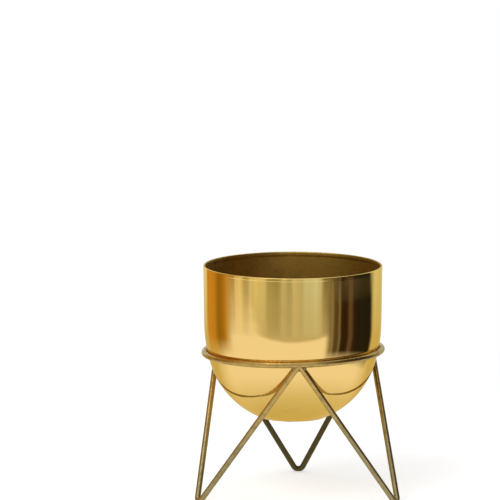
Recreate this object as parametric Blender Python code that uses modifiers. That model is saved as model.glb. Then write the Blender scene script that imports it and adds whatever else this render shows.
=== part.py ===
"""Brass planter pot: a spun bowl that rests in a three-legged stand of round bar.

Sizes are written in millimetres and turned into metres by MM. The parts are laid out with
the bowl's axis at x = y = 0, the floor at z = 0 and the front towards -Y. The last step
moves the whole planter so that its footprint is centred on the origin.
"""

import math

import bmesh
import bpy
from mathutils import Matrix, Vector

MM = 0.001

# Bowl
RIM_RADIUS = 90.0 * MM
RIM_HEIGHT = 232.5 * MM
SHOULDER_RADIUS = 89.2 * MM
SHOULDER_HEIGHT = 174.5 * MM
DOME_RADIUS = 86.8 * MM
DOME_CENTRE_HEIGHT = 158.7 * MM
BASE_RADIUS = 33.0 * MM
SHEET = 1.0 * MM
HEM_THICKNESS = 2.0 * MM
HEM_DEPTH = 3.5 * MM
HEM_SLOPE_DEPTH = 1.2 * MM
HEM_MARK_DEPTH = 0.15 * MM
HEM_MARK_WIDTH = 0.9 * MM
BOWL_STEPS = 72
SHOULDER_POINTS = 5
DOME_POINTS = 11
LIP_POINTS = 6

# Stand
BAR_RADIUS = 2.9 * MM
FIT_GAP = 0.3 * MM
SEAT_GAP = 0.25 * MM
HOOP_RADIUS = 89.3 * MM
HOOP_TILT = math.radians(1.25)
HOOP_STEPS = 84
FOOT_RADIUS = 116.7 * MM
FEET_SHIFT = 5.4 * MM
FOOT_FLAT_DEPTH = 0.35 * MM
BEND_RADIUS = 5.0 * MM
BEND_STEPS = 8
SETTLING_STEPS = 6
TUBE_RESOLUTION = 3

# Azimuths turn anticlockwise from +X, seen from above.
FRONT = math.radians(-86.2)
BACK_RIGHT = math.radians(28.4)
BACK_LEFT = math.radians(148.5)
LEFT_FOOT = math.radians(209.6)
RIGHT_FOOT = math.radians(329.6)
BACK_FOOT = math.radians(89.6)
SEAM = math.radians(90.0)

# Welds
CROTCH_WELD_DISTANCE = 5.9 * MM
CROTCH_WELD_SIZE = (2.5 * MM, 2.4 * MM, 2.1 * MM)
SEAM_GAP = 2.8 * MM
SEAM_WELD_RADIUS = BAR_RADIUS + 0.1 * MM
SEAM_WELD_CHAMFER = 0.25 * MM
WELD_SIDES = 16
WELD_RINGS = 10

# Blocks that cut the leg ends and the feet
MITRE_BLOCK = 40.0 * MM
FLOOR_BLOCK = 400.0 * MM

# Name: colour, roughness
BRASS_LOOKS = {
    "polished_brass": ((0.80, 0.55, 0.22), 0.10),
    "antique_brass": ((0.42, 0.30, 0.13), 0.38),
    "weld_brass": ((0.36, 0.26, 0.12), 0.50),
}


# ---------------------------------------------------------------- scene helpers


def clear_scene():
    for old in list(bpy.data.objects):
        bpy.data.objects.remove(old, do_unlink=True)


def new_collection(name):
    collection = bpy.data.collections.new(name)
    bpy.context.scene.collection.children.link(collection)
    return collection


def new_empty(name, collection, parent=None):
    empty = bpy.data.objects.new(name, None)
    empty.empty_display_size = 20 * MM
    empty.parent = parent
    collection.objects.link(empty)
    return empty


def new_brass(name):
    colour, roughness = BRASS_LOOKS[name]
    material = bpy.data.materials.new(name)
    material.use_nodes = True
    shader = material.node_tree.nodes["Principled BSDF"]
    shader.inputs["Base Color"].default_value = (*colour, 1.0)
    shader.inputs["Roughness"].default_value = roughness
    shader.inputs["Metallic"].default_value = 1.0
    return material


def new_piece(name, mesh, collection, parent, material):
    piece = bpy.data.objects.new(name, mesh)
    piece.parent = parent
    collection.objects.link(piece)
    mesh.materials.append(material)
    mesh.polygons.foreach_set("use_smooth", [True] * len(mesh.polygons))
    return piece


def new_cutter(name, mesh, collection):
    cutter = bpy.data.objects.new(name, mesh)
    collection.objects.link(cutter)
    cutter.display_type = "WIRE"
    cutter.hide_render = True
    return cutter


def subtract(piece, cutter):
    cut = piece.modifiers.new("minus " + cutter.name, "BOOLEAN")
    cut.operation = "DIFFERENCE"
    cut.solver = "EXACT"
    cut.object = cutter


def mesh_from(name, build):
    """A new mesh filled by build(bm)."""
    bm = bmesh.new()
    build(bm)
    mesh = bpy.data.meshes.new(name)
    bm.to_mesh(mesh)
    bm.free()
    return mesh


def block_mesh(name, size):
    return mesh_from(name, lambda bm: bmesh.ops.create_cube(bm, size=size))


def bar_mesh(name, path, radius, closed=False):
    """A round bar of the given radius along path, with flat ends unless it is closed."""
    curve = bpy.data.curves.new(name, "CURVE")
    curve.dimensions = "3D"
    curve.bevel_depth = radius
    curve.bevel_resolution = TUBE_RESOLUTION
    curve.use_fill_caps = not closed
    spline = curve.splines.new("POLY")
    spline.points.add(len(path) - 1)
    for point, place in zip(spline.points, path):
        point.co = (*place, 1.0)
    spline.use_cyclic_u = closed

    holder = bpy.data.objects.new(name, curve)
    bpy.context.scene.collection.objects.link(holder)
    depsgraph = bpy.context.evaluated_depsgraph_get()
    mesh = bpy.data.meshes.new_from_object(holder.evaluated_get(depsgraph))
    bpy.data.objects.remove(holder, do_unlink=True)

    bm = bmesh.new()
    bm.from_mesh(mesh)
    bmesh.ops.remove_doubles(bm, verts=bm.verts, dist=0.01 * MM)
    bmesh.ops.recalc_face_normals(bm, faces=bm.faces)
    bm.to_mesh(mesh)
    bm.free()
    mesh.name = name
    return mesh


# ---------------------------------------------------------------- bowl


def arc(centre, radius, start, end, count):
    """Points of an arc in the XZ plane, both ends included, angles from +X towards +Z."""
    points = []
    for step in range(count + 1):
        angle = start + (end - start) * step / count
        x = centre[0] + radius * math.cos(angle)
        z = centre[1] + radius * math.sin(angle)
        points.append((x, z))
    return points


def base_height():
    return DOME_CENTRE_HEIGHT - math.sqrt(DOME_RADIUS**2 - BASE_RADIUS**2)


def shoulder_arc():
    """Centre and radius of the arc that touches both the tapered wall and the dome."""
    wall = Vector((RIM_RADIUS - SHOULDER_RADIUS, RIM_HEIGHT - SHOULDER_HEIGHT)).normalized()
    inward = Vector((-wall.y, wall.x))
    wall_end = Vector((SHOULDER_RADIUS, SHOULDER_HEIGHT))
    from_dome = wall_end - Vector((0.0, DOME_CENTRE_HEIGHT))
    slack = 2 * (from_dome.dot(inward) + DOME_RADIUS)
    radius = (DOME_RADIUS**2 - from_dome.length_squared) / slack
    return wall_end + inward * radius, radius


def shell_side(inset, top):
    """One face of the sheet, inset from the outside, from height top down to the axis."""
    taper = math.atan2(RIM_RADIUS - SHOULDER_RADIUS, RIM_HEIGHT - SHOULDER_HEIGHT)
    wall_top = RIM_RADIUS - (RIM_HEIGHT - top) * math.tan(taper) - inset / math.cos(taper)

    centre, radius = shoulder_arc()
    meeting = math.atan2(DOME_CENTRE_HEIGHT - centre.y, -centre.x)
    shoulder = arc(centre, radius - inset, -taper, meeting, SHOULDER_POINTS)

    floor = base_height() + inset
    dome_radius = DOME_RADIUS - inset
    dome_end = -math.asin((DOME_CENTRE_HEIGHT - floor) / dome_radius)
    dome = arc((0.0, DOME_CENTRE_HEIGHT), dome_radius, meeting, dome_end, DOME_POINTS)
    return [(wall_top, top)] + shoulder + dome[1:] + [(0.0, floor)]


def bowl_profile():
    """The sheet's section from the inside floor's centre, over the rim, to the base's."""
    hem_end = RIM_HEIGHT - HEM_DEPTH
    inside = shell_side(SHEET, hem_end - HEM_SLOPE_DEPTH)
    outside = shell_side(0.0, hem_end - HEM_MARK_WIDTH / 2)
    hem_foot = (RIM_RADIUS - HEM_THICKNESS, hem_end)
    lip_radius = HEM_THICKNESS / 2
    lip_centre = (RIM_RADIUS - lip_radius, RIM_HEIGHT - lip_radius)
    lip = arc(lip_centre, lip_radius, math.pi, 0.0, LIP_POINTS)
    mark_top = (RIM_RADIUS, hem_end + HEM_MARK_WIDTH / 2)
    mark_bottom = (RIM_RADIUS - HEM_MARK_DEPTH, hem_end)
    return inside[::-1] + [hem_foot] + lip + [mark_top, mark_bottom] + outside


def build_bowl(pieces, parent):
    profile = bowl_profile()
    mesh = bpy.data.meshes.new("bowl")
    edges = [(index, index + 1) for index in range(len(profile) - 1)]
    mesh.from_pydata([(x, 0.0, z - base_height()) for x, z in profile], edges, [])
    bowl = new_piece("bowl", mesh, pieces, parent, new_brass("polished_brass"))
    turn = bowl.modifiers.new("turned shape", "SCREW")
    turn.axis = "Z"
    turn.steps = BOWL_STEPS
    turn.render_steps = BOWL_STEPS
    turn.use_merge_vertices = True
    turn.merge_threshold = 0.01 * MM
    turn.use_smooth_shade = True


# ---------------------------------------------------------------- stand


def hoop_centre():
    """Where the hoop's centre lies for its bar to clear the bowl by the seat gap all round.

    The hoop is tilted with its right side up, so it also slides a little to the right.
    """
    centre, radius = shoulder_arc()
    reach = radius + SEAT_GAP + BAR_RADIUS
    out = HOOP_RADIUS - centre.x
    drop = math.sqrt(reach**2 - out**2)
    slide = HOOP_RADIUS * math.sin(HOOP_TILT) * drop / out
    return Vector((slide, 0.0, centre.y - drop))


def around(radius, azimuth, height=0.0):
    return Vector((radius * math.cos(azimuth), radius * math.sin(azimuth), height))


def on_hoop(azimuth):
    """A point of the tilted hoop's centre line."""
    tilt = Matrix.Rotation(-HOOP_TILT, 3, "Y")
    return tilt @ around(HOOP_RADIUS, azimuth) + hoop_centre()


def foot_corner(foot_azimuth, joints):
    """Where the straight lines of a leg's two limbs would cross, a little under the floor.

    Its height is settled step by step until the bend's underside reaches one flat depth
    below the floor, where the foot is ground off.
    """
    corner = around(FOOT_RADIUS, foot_azimuth) + Vector((FEET_SHIFT, 0.0, 0.0))
    for _ in range(SETTLING_STEPS):
        limbs = [(on_hoop(azimuth) - corner).normalized() for azimuth in joints]
        half_angle = limbs[0].angle(limbs[1]) / 2
        bisector = (limbs[0] + limbs[1]).normalized()
        bend_above_corner = BEND_RADIUS / math.sin(half_angle) - BEND_RADIUS
        corner.z = BAR_RADIUS - FOOT_FLAT_DEPTH - bend_above_corner * bisector.z
    return corner


def hairpin_path(start, corner, end):
    """Straight from start to a rounded bend near corner and straight on to end."""
    to_start = (start - corner).normalized()
    to_end = (end - corner).normalized()
    half_angle = to_start.angle(to_end) / 2
    bisector = (to_start + to_end).normalized()
    centre = corner + bisector * BEND_RADIUS / math.sin(half_angle)
    first_spoke = corner + to_start * BEND_RADIUS / math.tan(half_angle) - centre
    sweep = math.pi - 2 * half_angle
    pivot = to_end.cross(to_start)
    path = [start]
    for step in range(BEND_STEPS + 1):
        turned = Matrix.Rotation(sweep * step / BEND_STEPS, 3, pivot)
        path.append(centre + turned @ first_spoke)
    path.append(end)
    return path


def place_hoop_part(part):
    part.location = hoop_centre()
    part.rotation_euler.y = -HOOP_TILT


def build_hoop(pieces, parent, material):
    """The hoop, open by the width of its seam weld."""
    half_gap = SEAM_GAP / 2 / HOOP_RADIUS
    sweep = 2 * math.pi - 2 * half_gap
    path = [
        around(HOOP_RADIUS, SEAM + half_gap + sweep * step / HOOP_STEPS)
        for step in range(HOOP_STEPS + 1)
    ]
    mesh = bar_mesh("stand_hoop", path, BAR_RADIUS)
    hoop = new_piece("stand_hoop", mesh, pieces, parent, material)
    place_hoop_part(hoop)
    return hoop


def hoop_clearance(cutters):
    """A full hoop one fit gap fatter than the bar."""
    path = [
        around(HOOP_RADIUS, 2 * math.pi * step / HOOP_STEPS) for step in range(HOOP_STEPS)
    ]
    mesh = bar_mesh("hoop_clearance", path, BAR_RADIUS + FIT_GAP, closed=True)
    cutter = new_cutter("hoop_clearance", mesh, cutters)
    place_hoop_part(cutter)
    return cutter


def mitre_block(cutters, name, azimuth, foot):
    """A block over the far side of the plane where two legs meet under the hoop."""
    joint = on_hoop(azimuth)
    along = Vector((-math.sin(azimuth), math.cos(azimuth), 0.0))
    side = math.copysign(1.0, along.dot(foot - joint))
    mesh = block_mesh(name, MITRE_BLOCK)
    block = new_cutter(name, mesh, cutters)
    block.location = joint - along * side * (MITRE_BLOCK - FIT_GAP) / 2
    block.rotation_euler.z = azimuth
    return block


def floor_block(cutters):
    """A block under the floor that grinds the feet flat."""
    block = new_cutter("floor_block", block_mesh("floor_block", FLOOR_BLOCK), cutters)
    block.location.z = -FLOOR_BLOCK / 2
    return block


def build_leg(pieces, parent, material, cutters, side, joints, foot_azimuth, shared):
    """A hairpin leg, coped under the hoop and mitred against its two neighbours.

    Returns a cutter that is one fit gap fatter than the leg.
    """
    corner = foot_corner(foot_azimuth, joints)
    ends = [on_hoop(azimuth) - corner for azimuth in joints]
    path = hairpin_path(ends[0], Vector((0.0, 0.0, 0.0)), ends[1])
    name = "leg_" + side
    leg = new_piece(name, bar_mesh(name, path, BAR_RADIUS), pieces, parent, material)
    leg.location = corner
    for cutter in shared:
        subtract(leg, cutter)
    for count, azimuth in enumerate(joints, start=1):
        block_name = f"mitre_{side}_{count}"
        subtract(leg, mitre_block(cutters, block_name, azimuth, corner))

    fat_name = f"{name}_clearance"
    fat_mesh = bar_mesh(fat_name, path, BAR_RADIUS + FIT_GAP)
    fat_leg = new_cutter(fat_name, fat_mesh, cutters)
    fat_leg.location = corner
    return fat_leg


def build_crotch_weld(pieces, parent, material, place, azimuth, feet, neighbours):
    """A bead in the crotch under the hoop where two legs meet."""
    joint = on_hoop(azimuth)
    limbs = [(foot - joint).normalized() for foot in feet]
    down = (limbs[0] + limbs[1]).normalized()

    def bead(bm):
        bmesh.ops.create_uvsphere(
            bm,
            u_segments=WELD_SIDES,
            v_segments=WELD_RINGS,
            radius=1.0,
            matrix=Matrix.Diagonal((*CROTCH_WELD_SIZE, 1.0)),
        )

    name = "weld_" + place
    weld = new_piece(name, mesh_from(name, bead), pieces, parent, material)
    weld.location = joint + down * CROTCH_WELD_DISTANCE
    weld.rotation_euler.z = azimuth + math.pi / 2
    for cutter in neighbours:
        subtract(weld, cutter)


def build_seam_weld(pieces, hoop, material):
    """The bead that closes the hoop, dressed nearly flush with the bar."""
    length = SEAM_GAP - 2 * FIT_GAP

    def plug(bm):
        bmesh.ops.create_cone(
            bm,
            cap_ends=True,
            segments=WELD_SIDES,
            radius1=SEAM_WELD_RADIUS,
            radius2=SEAM_WELD_RADIUS,
            depth=length,
            matrix=Matrix.Rotation(math.pi / 2, 4, "X"),
        )

    name = "hoop_seam_weld"
    weld = new_piece(name, mesh_from(name, plug), pieces, hoop, material)
    weld.location = around(HOOP_RADIUS, SEAM)
    weld.rotation_euler.z = SEAM
    chamfer = weld.modifiers.new("chamfer", "BEVEL")
    chamfer.width = SEAM_WELD_CHAMFER
    chamfer.segments = 2
    chamfer.limit_method = "ANGLE"


def build_stand(pieces, cutters, parent):
    antique = new_brass("antique_brass")
    weld_brass = new_brass("weld_brass")
    hoop = build_hoop(pieces, parent, antique)
    build_seam_weld(pieces, hoop, weld_brass)

    fat_hoop = hoop_clearance(cutters)
    shared = [fat_hoop, floor_block(cutters)]
    legs = {
        "left": ((FRONT, BACK_LEFT), LEFT_FOOT),
        "right": ((FRONT, BACK_RIGHT), RIGHT_FOOT),
        "back": ((BACK_LEFT, BACK_RIGHT), BACK_FOOT),
    }
    fat_legs = {}
    for side, (joints, foot) in legs.items():
        fat_legs[side] = build_leg(
            pieces, parent, antique, cutters, side, joints, foot, shared
        )

    welds = {
        "front": (FRONT, "left", "right"),
        "back_left": (BACK_LEFT, "left", "back"),
        "back_right": (BACK_RIGHT, "right", "back"),
    }
    for place, (azimuth, one, other) in welds.items():
        feet = [foot_corner(legs[side][1], legs[side][0]) for side in (one, other)]
        neighbours = [fat_hoop, fat_legs[one], fat_legs[other]]
        build_crotch_weld(pieces, parent, weld_brass, place, azimuth, feet, neighbours)


# ---------------------------------------------------------------- whole planter


def centre_footprint(root, pieces):
    """Move the planter so that its bounding box is centred over the origin."""
    depsgraph = bpy.context.evaluated_depsgraph_get()
    corners = []
    for piece in pieces.objects:
        if piece.type == "MESH":
            solid = piece.evaluated_get(depsgraph)
            corners += [solid.matrix_world @ vertex.co for vertex in solid.data.vertices]
    for axis in range(2):
        values = [corner[axis] for corner in corners]
        root.location[axis] = -(min(values) + max(values)) / 2


def main():
    clear_scene()
    pieces = new_collection("brass_planter_pot")
    cutters = new_collection("cutters")
    root = new_empty("planter", pieces)
    stand = new_empty("stand", pieces, root)
    lift = new_empty("bowl_lift_axis", pieces, root)
    lift.location.z = base_height()
    build_stand(pieces, cutters, stand)
    build_bowl(pieces, lift)
    for cutter in cutters.objects:
        cutter.parent = stand
    bpy.context.view_layer.update()
    centre_footprint(root, pieces)
    bpy.context.view_layer.update()


main()
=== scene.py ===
"""Looks of a brass planter pot: a spun bowl resting in a welded stand of round bar.

Laid out as an add-on whose operators build the pieces one group at a time around the
fixed frame. Run as a script it builds the whole planter, its stage and its camera.
"""

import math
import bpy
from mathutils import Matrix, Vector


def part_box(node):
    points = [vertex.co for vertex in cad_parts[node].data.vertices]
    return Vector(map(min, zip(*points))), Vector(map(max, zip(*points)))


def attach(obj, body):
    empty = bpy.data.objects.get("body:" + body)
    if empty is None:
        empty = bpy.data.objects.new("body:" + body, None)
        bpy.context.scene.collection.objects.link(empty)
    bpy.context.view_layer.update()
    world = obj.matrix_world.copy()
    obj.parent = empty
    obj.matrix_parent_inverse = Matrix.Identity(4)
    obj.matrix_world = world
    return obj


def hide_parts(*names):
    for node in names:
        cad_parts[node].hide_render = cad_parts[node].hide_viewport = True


bl_info = {
    "name": "Brass planter pot",
    "version": (1, 0, 0),
    "blender": (4, 5, 0),
    "location": "View3D > Sidebar > Planter",
    "description": "Builds a spun brass bowl in a hairpin-legged stand, with a studio stage",
    "category": "Add Mesh",
}

import bmesh
import bpy
from bpy.props import FloatProperty, FloatVectorProperty, IntProperty, PointerProperty
from mathutils import Matrix, Vector, noise

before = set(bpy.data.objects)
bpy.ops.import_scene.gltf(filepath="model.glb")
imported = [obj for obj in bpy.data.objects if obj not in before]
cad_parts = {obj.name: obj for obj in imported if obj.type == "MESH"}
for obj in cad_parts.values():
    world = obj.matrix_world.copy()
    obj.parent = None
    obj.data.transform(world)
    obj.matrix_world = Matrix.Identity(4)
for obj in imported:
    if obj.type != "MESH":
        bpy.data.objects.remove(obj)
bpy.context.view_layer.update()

MM = 0.001
TOUCHING = 0.001 * MM
BOWL_LOW, BOWL_HIGH = (Vector(corner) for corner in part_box("bowl"))
BOWL_AXIS = Vector(((BOWL_LOW.x + BOWL_HIGH.x) / 2, (BOWL_LOW.y + BOWL_HIGH.y) / 2, 0.0))

# Azimuths of the stand turn anticlockwise from +X, seen from above.
JOINTS = {
    "front": math.radians(-86.2),
    "back_left": math.radians(148.5),
    "back_right": math.radians(28.4),
}
FEET = {
    "left": (math.radians(209.6), ("front", "back_left")),
    "right": (math.radians(329.6), ("front", "back_right")),
    "back": (math.radians(89.6), ("back_left", "back_right")),
}
WELDED_LEGS = {
    "front": ("left", "right"),
    "back_left": ("left", "back"),
    "back_right": ("right", "back"),
}
SEAM_AZIMUTH = math.radians(90.0)


# ------------ settings


class BowlSizes(bpy.types.PropertyGroup):
    rim_radius: FloatProperty(
        name="Rim radius", default=(BOWL_HIGH.x - BOWL_LOW.x) / 2, unit="LENGTH",
        description="Outside radius of the bowl at its rim",
    )
    rim_height: FloatProperty(
        name="Rim height", default=BOWL_HIGH.z, unit="LENGTH",
        description="Height of the rim above the floor",
    )
    base_height: FloatProperty(
        name="Base height", default=BOWL_LOW.z, unit="LENGTH",
        description="Height of the bowl's flat underside above the floor",
    )
    shoulder_radius: FloatProperty(
        name="Shoulder radius", default=89.2 * MM, unit="LENGTH",
        description="Outside radius where the tapered wall starts to curve in",
    )
    shoulder_height: FloatProperty(
        name="Shoulder height", default=174.5 * MM, unit="LENGTH",
        description="Height where the tapered wall starts to curve in",
    )
    dome_radius: FloatProperty(
        name="Dome radius", default=86.8 * MM, unit="LENGTH",
        description="Radius of the round underside",
    )
    dome_centre_height: FloatProperty(
        name="Dome centre height", default=158.7 * MM, unit="LENGTH",
        description="Height of the centre of the round underside",
    )
    sheet: FloatProperty(
        name="Sheet", default=1.0 * MM, unit="LENGTH",
        description="Thickness of the spun sheet",
    )
    hem_thickness: FloatProperty(
        name="Hem thickness", default=2.0 * MM, unit="LENGTH",
        description="Thickness of the turned-in rim",
    )
    hem_depth: FloatProperty(
        name="Hem depth", default=3.5 * MM, unit="LENGTH",
        description="How far down the turned-in rim reaches",
    )
    steps: IntProperty(
        name="Steps", default=288, min=24,
        description="Faces around the bowl",
    )


class StandSizes(bpy.types.PropertyGroup):
    bar_radius: FloatProperty(
        name="Bar radius", default=2.9 * MM, unit="LENGTH",
        description="Radius of the round bar of the hoop and the legs",
    )
    hoop_radius: FloatProperty(
        name="Hoop radius", default=89.3 * MM, unit="LENGTH",
        description="Radius of the hoop's centre line",
    )
    hoop_tilt: FloatProperty(
        name="Hoop tilt", default=math.radians(1.25), subtype="ANGLE",
        description="How far the hoop leans, its right side up",
    )
    seat_gap: FloatProperty(
        name="Seat gap", default=0.25 * MM, unit="LENGTH",
        description="Clearance between the hoop and the bowl",
    )
    foot_radius: FloatProperty(
        name="Foot radius", default=116.7 * MM, unit="LENGTH",
        description="Distance of the feet from the middle of the stand",
    )
    feet_shift: FloatProperty(
        name="Feet shift", default=5.4 * MM, unit="LENGTH",
        description="How far the feet stand to the right of the bowl's axis",
    )
    foot_flat_depth: FloatProperty(
        name="Foot flat depth", default=0.35 * MM, unit="LENGTH",
        description="How much is ground off under each foot",
    )
    bend_radius: FloatProperty(
        name="Bend radius", default=5.0 * MM, unit="LENGTH",
        description="Radius of a leg's bend at its centre line",
    )
    bar_sides: IntProperty(
        name="Bar sides", default=32, min=8,
        description="Faces around a bar",
    )


class BrassColours(bpy.types.PropertyGroup):
    polished: FloatVectorProperty(
        name="Polished brass", default=(0.90, 0.62, 0.22), subtype="COLOR", min=0.0, max=1.0,
        description="Colour of the mirror-polished outside",
    )
    # Painted shade: the inside's brown is darker than bare brass, for the shade inside the
    # bowl.
    inside_with_painted_shade: FloatVectorProperty(
        name="Aged brass", default=(0.60, 0.39, 0.10), subtype="COLOR", min=0.0, max=1.0,
        description="Colour of the unpolished inside",
    )
    antique: FloatVectorProperty(
        name="Antique brass", default=(0.40, 0.325, 0.175), subtype="COLOR", min=0.0, max=1.0,
        description="Colour of the legs",
    )
    # Painted light: the hoop is given a lighter colour than the legs for the bowl's bounce
    # light on it.
    hoop_painted_light: FloatVectorProperty(
        name="Rubbed brass", default=(0.56, 0.375, 0.125), subtype="COLOR", min=0.0, max=1.0,
        description="Colour of the hoop, rubbed brighter than the legs",
    )
    tarnish: FloatVectorProperty(
        name="Tarnish", default=(0.25, 0.185, 0.085), subtype="COLOR", min=0.0, max=1.0,
        description="Colour of the stand's darker patches",
    )
    # Painted shade: the back of the stand is darkened for the bowl's shade over it.
    back_shade: FloatProperty(
        name="Back shade", default=0.27, subtype="FACTOR", min=0.0, max=1.0,
        description="How much of its colour the back of the stand keeps, 1 for all of it",
    )


class StageSettings(bpy.types.PropertyGroup):
    camera_distance: FloatProperty(
        name="Camera distance", default=5.5, unit="LENGTH",
        description="Distance from the bowl's axis to the camera along the floor",
    )
    camera_height: FloatProperty(
        name="Camera height", default=1.08, unit="LENGTH",
        description="Height of the camera above the floor",
    )
    camera_pitch: FloatProperty(
        name="Camera pitch", default=math.radians(8.606), subtype="ANGLE",
        description="How far the camera looks down",
    )
    camera_turn: FloatProperty(
        name="Camera turn", default=math.radians(0.448), subtype="ANGLE",
        description="How far the camera looks to the left of the bowl",
    )
    lens: FloatProperty(
        name="Lens", default=399.0, unit="CAMERA",
        description="Focal length of the camera",
    )
    floor_radius: FloatProperty(
        name="Floor radius", default=30.0, unit="LENGTH",
        description="Radius of the pale floor",
    )
    lamp_size: FloatProperty(
        name="Lamp size", default=1.6, unit="LENGTH",
        description="Side of the soft square lamp",
    )
    lamp_power: FloatProperty(
        name="Lamp power", default=26.0, unit="POWER",
        description="Power of the soft square lamp",
    )


# ------------ node helpers


def link(tree, value, socket):
    """Link another socket into this one, or set a plain value on it."""
    if isinstance(value, bpy.types.NodeSocket):
        tree.links.new(value, socket)
    else:
        socket.default_value = value


def add_node(tree, kind, settings=None, **inputs):
    """A node of that kind with its settings made and its named inputs filled."""
    node = tree.nodes.new(kind)
    for name, value in (settings or {}).items():
        setattr(node, name, value)
    for name, value in inputs.items():
        link(tree, value, node.inputs[name.replace("_", " ")])
    return node


def maths(tree, operation, *values):
    """The output of a Math node on numbers or sockets."""
    node = add_node(tree, "ShaderNodeMath", {"operation": operation})
    for index, value in enumerate(values):
        link(tree, value, node.inputs[index])
    return node.outputs[0]


def smooth_ramp(tree, value, start, end, **ends):
    """value eased from 0 at start to 1 at end, or from To_Min to To_Max."""
    ramp = add_node(
        tree, "ShaderNodeMapRange", {"interpolation_type": "SMOOTHSTEP"},
        Value=value, From_Min=start, From_Max=end, **ends,
    )
    return ramp.outputs["Result"]


def object_place(tree):
    """Object coordinates."""
    return tree.nodes.new("ShaderNodeTexCoord").outputs["Object"]


def new_tree(name, kind, sockets):
    """A node group with rows of in or out, socket type, socket name and any default."""
    tree = bpy.data.node_groups.new(name, kind)
    for way, socket_kind, label, *default in sockets:
        socket = tree.interface.new_socket(
            name=label,
            in_out="INPUT" if way == "in" else "OUTPUT",
            socket_type="NodeSocket" + socket_kind,
        )
        if default:
            socket.default_value = default[0]
    entry = tree.nodes.new("NodeGroupInput")
    leave = tree.nodes.new("NodeGroupOutput")
    return tree, entry.outputs, leave.inputs


def shared_tree(name, make):
    """The node group of that name, made the first time that it is asked for."""
    return bpy.data.node_groups.get(name) or make(name)


def new_object(name, data):
    """An object of the scene that shows data."""
    shown = bpy.data.objects.new(name, data)
    bpy.context.scene.collection.objects.link(shown)
    return shown


def grown(name, mesh, tree, values):
    """The plain mesh that a Geometry Nodes tree makes from mesh, as a new object."""
    holder = new_object(name, mesh)
    modifier = holder.modifiers.new(tree.name, "NODES")
    modifier.node_group = tree
    for item in tree.interface.items_tree:
        if item.item_type == "SOCKET" and item.in_out == "INPUT" and item.name in values:
            modifier[item.identifier] = values[item.name]
    depsgraph = bpy.context.evaluated_depsgraph_get()
    finished = bpy.data.meshes.new_from_object(holder.evaluated_get(depsgraph))
    bpy.data.objects.remove(holder, do_unlink=True)
    bpy.data.meshes.remove(mesh)
    finished.name = name
    return new_object(name, finished)


def line_mesh(name, points):
    """A chain of edges through points."""
    mesh = bpy.data.meshes.new(name)
    edges = [(index, index + 1) for index in range(len(points) - 1)]
    mesh.from_pydata([tuple(point) for point in points], edges, [])
    return mesh


# ------------ shader groups


# How much of the spun height is fine grooves, beside the broad waves.
FINE_GROOVES = 0.25
# Blotches carry this share of their mask, and grain this much finer carries the rest.
BLOTCH_SHARE = 0.7
GRAIN_FINENESS = 7.0
# Heights between which the legs' colour turns into the hoop's lighter one, a painted bounce
# light from the bowl, and depths behind the bowl's axis between which the stand turns dark with
# painted shade.
HOOP_LIGHT_HEIGHTS = (55 * MM, 118 * MM)
PAINTED_BACK_SHADE_DEPTHS = (30 * MM, 80 * MM)
# A Mix node's colour sockets share their names with others, so they go by number.
MIX_FIRST_COLOUR = 6
MIX_SECOND_COLOUR = 7
MIX_COLOUR_RESULT = 2


def spun_lines_group(name):
    """Height and roughness of the fine rings that a spinning tool leaves round an axis."""
    tree, given, result = new_tree(name, "ShaderNodeTree", [
        ("in", "Vector", "Place"),
        ("in", "Float", "Rings per Metre", 900.0),
        ("in", "Float", "Waviness", 0.3),
        ("out", "Float", "Height"),
        ("out", "Float", "Mask"),
    ])
    split = add_node(tree, "ShaderNodeSeparateXYZ", Vector=given["Place"])
    flat = add_node(tree, "ShaderNodeCombineXYZ", X=split.outputs["X"], Y=split.outputs["Y"])
    spread = add_node(tree, "ShaderNodeVectorMath", {"operation": "LENGTH"})
    link(tree, flat.outputs["Vector"], spread.inputs[0])
    along = maths(tree, "SUBTRACT", split.outputs["Z"], spread.outputs["Value"])
    ring = maths(tree, "MULTIPLY", along, given["Rings per Metre"])
    fine = add_node(
        tree, "ShaderNodeTexNoise", {"noise_dimensions": "1D"},
        W=ring, Scale=1.0, Detail=3.0, Roughness=0.65,
    )
    broad = add_node(
        tree, "ShaderNodeTexNoise", {"noise_dimensions": "1D"}, W=ring, Scale=0.06, Detail=2.0
    )
    groove = maths(tree, "MULTIPLY", fine.outputs["Fac"], FINE_GROOVES)
    wave = maths(tree, "MULTIPLY", broad.outputs["Fac"], given["Waviness"])
    link(tree, maths(tree, "ADD", groove, wave), result["Height"])
    link(tree, fine.outputs["Fac"], result["Mask"])
    return tree


def patches_group(name):
    """A soft-edged mask of blotches at two scales, for smudges, tarnish and handling."""
    tree, given, result = new_tree(name, "ShaderNodeTree", [
        ("in", "Vector", "Place"),
        ("in", "Float", "Scale", 60.0),
        ("in", "Float", "Low", 0.4),
        ("in", "Float", "High", 0.65),
        ("out", "Float", "Mask"),
        ("out", "Float", "Grain"),
    ])
    large = add_node(
        tree, "ShaderNodeTexNoise",
        Vector=given["Place"], Scale=given["Scale"], Detail=5.0, Roughness=0.6,
    )
    small_scale = maths(tree, "MULTIPLY", given["Scale"], GRAIN_FINENESS)
    small = add_node(
        tree, "ShaderNodeTexNoise",
        Vector=given["Place"], Scale=small_scale, Detail=4.0, Roughness=0.7,
    )
    mixed = maths(
        tree, "ADD",
        maths(tree, "MULTIPLY", large.outputs["Fac"], BLOTCH_SHARE),
        maths(tree, "MULTIPLY", small.outputs["Fac"], 1.0 - BLOTCH_SHARE),
    )
    link(tree, smooth_ramp(tree, mixed, given["Low"], given["High"]), result["Mask"])
    link(tree, small.outputs["Fac"], result["Grain"])
    return tree


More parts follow.
